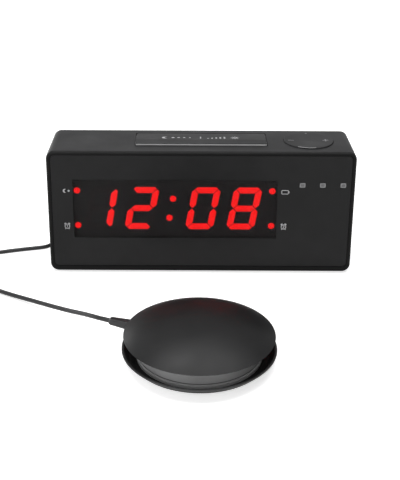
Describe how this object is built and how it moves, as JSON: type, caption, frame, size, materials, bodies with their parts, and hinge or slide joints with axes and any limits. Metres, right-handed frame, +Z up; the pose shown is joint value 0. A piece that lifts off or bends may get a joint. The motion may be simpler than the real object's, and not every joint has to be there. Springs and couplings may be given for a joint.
{
  "type": "bed shaker alarm clock",
  "caption": "Mains alarm clock with a wide red numeral display, snooze bar and rocking control pad, and a domed vibrating puck on a long lead that shakes the bed",
  "frame": {"origin": "middle of the table area that the clock and its puck cover together, without the lead", "axes": "+Z up, -Y the way the display faces, +X to the right seen from the front"},
  "size_m": [0.267, 0.2219, 0.0796],
  "materials": {
    "case_black": "fine satin black moulding",
    "lens_smoke": "polished smoked window",
    "red_filter": "dark red film",
    "display_black": "matte black",
    "lit_red": "lit red segments",
    "unlit_grey": "dark unlit segments",
    "circuit_board": "green solder mask",
    "light_pipe": "clear grey light window",
    "button_black": "satin black",
    "switch_black": "moulded switch body",
    "silicone_grey": "soft grey silicone",
    "rubber_black": "matte black rubber",
    "speaker_steel": "zinc plated",
    "cone_paper": "black paper cone",
    "cell_shell": "plain wrapped cell",
    "spring_steel": "nickel plated",
    "screw_steel": "blackened steel",
    "ribbon_grey": "flat grey insulation",
    "puck_black": "fine matte black moulding",
    "waist_grey": "dark grey moulding",
    "motor_steel": "plated can",
    "weight_steel": "sintered weight",
    "wire_red": "wire insulation",
    "cord_black": "smooth soft cord jacket",
    "tie_black": "hook strap"
  },
  "bodies": {
    "clock": {"case_shell": "case_black", "rear_cover": "case_black", "front_lens": "lens_smoke", "display_filter": "red_filter", "digit_frame": "display_black", "lit_bars": "lit_red", "unlit_bars": "unlit_grey", "indicator_dots": "lit_red", "display_board": "circuit_board", "status_windows": "light_pipe", "status_board": "circuit_board", "snooze_switch": "switch_black", "key_board": "circuit_board", "key_mat": "silicone_grey", "main_board": "circuit_board", "shaker_jack": "switch_black", "power_jack": "switch_black", "mode_switch": "switch_black", "button_switches": "switch_black", "speaker_frame": "speaker_steel", "speaker_cone": "cone_paper", "backup_cells": "cell_shell", "cell_contacts": "spring_steel", "cover_screws": "screw_steel", "board_screws": "screw_steel", "clock_feet": "rubber_black", "display_ribbon": "ribbon_grey", "key_ribbon": "ribbon_grey", "shaker_cap": "puck_black", "shaker_waist": "waist_grey", "shaker_base": "puck_black", "shaker_foot": "rubber_black", "vibration_motor": "motor_steel", "motor_clamp": "spring_steel", "clamp_screws": "screw_steel", "shaker_screws": "screw_steel", "motor_leads": "wire_red", "shaker_plug": "cord_black", "plug_lead": "cord_black", "lead_coil": "cord_black", "shaker_lead": "cord_black", "lead_tie": "tie_black", "shaker_strain_relief": "cord_black"},
    "snooze_bar_body": {"snooze_bar": "button_black"},
    "snooze_plunger_body": {"snooze_plunger": "switch_black"},
    "control_pad_body": {"control_pad": "button_black"},
    "time_button_body": {"time_button": "button_black"},
    "alarm_one_button_body": {"alarm_one_button": "button_black"},
    "alarm_two_button_body": {"alarm_two_button": "button_black"},
    "mode_knob_body": {"mode_knob": "button_black"},
    "battery_door_body": {"battery_door": "case_black"},
    "eccentric_weight_body": {"eccentric_weight": "weight_steel"}
  },
  "joints": [
    {"name": "snooze_press", "type": "hinge", "parent": "clock", "child": "snooze_bar_body", "pos_m": [0, 0.0814, 0.0742], "axis": [1, 0, 0], "range_deg": [0, 1.6], "stiffness_Nm_per_rad": 0.3, "springref_deg": -1.15},
    {"name": "snooze_plunger_travel", "type": "slide", "parent": "clock", "child": "snooze_plunger_body", "axis": [0, 0, -1], "range_m": [0, 0.00045]},
    {"name": "control_rock", "type": "hinge", "parent": "clock", "child": "control_pad_body", "pos_m": [0.065, 0.0696, 0.0736], "axis": [0, 1, 0], "range_deg": [-1.8, 1.8], "stiffness_Nm_per_rad": 0.3},
    {"name": "time_press", "type": "slide", "parent": "clock", "child": "time_button_body", "axis": [0, -1, 0], "range_m": [0, 0.0005], "stiffness_N_per_m": 300, "springref_m": -0.0003},
    {"name": "alarm_one_press", "type": "slide", "parent": "clock", "child": "alarm_one_button_body", "axis": [0, -1, 0], "range_m": [0, 0.0005], "stiffness_N_per_m": 300, "springref_m": -0.0003},
    {"name": "alarm_two_press", "type": "slide", "parent": "clock", "child": "alarm_two_button_body", "axis": [0, -1, 0], "range_m": [0, 0.0005], "stiffness_N_per_m": 300, "springref_m": -0.0003},
    {"name": "mode_slide", "type": "slide", "parent": "clock", "child": "mode_knob_body", "axis": [1, 0, 0], "range_m": [-0.0025, 0.0025]},
    {"name": "battery_door_hinge", "type": "hinge", "parent": "clock", "child": "battery_door_body", "pos_m": [0, 0.0889, 0.0145], "axis": [1, 0, 0], "range_deg": [-40, 0]},
    {"name": "weight_spin", "type": "hinge", "parent": "clock", "child": "eccentric_weight_body", "pos_m": [-0.0015, -0.0496, 0.0114], "axis": [1, 0, 0], "continuous": true}
  ],
  "couplings": [
    {"joint": "snooze_plunger_travel", "follows": "snooze_press", "m_per_rad": 0.0148}
  ]
}
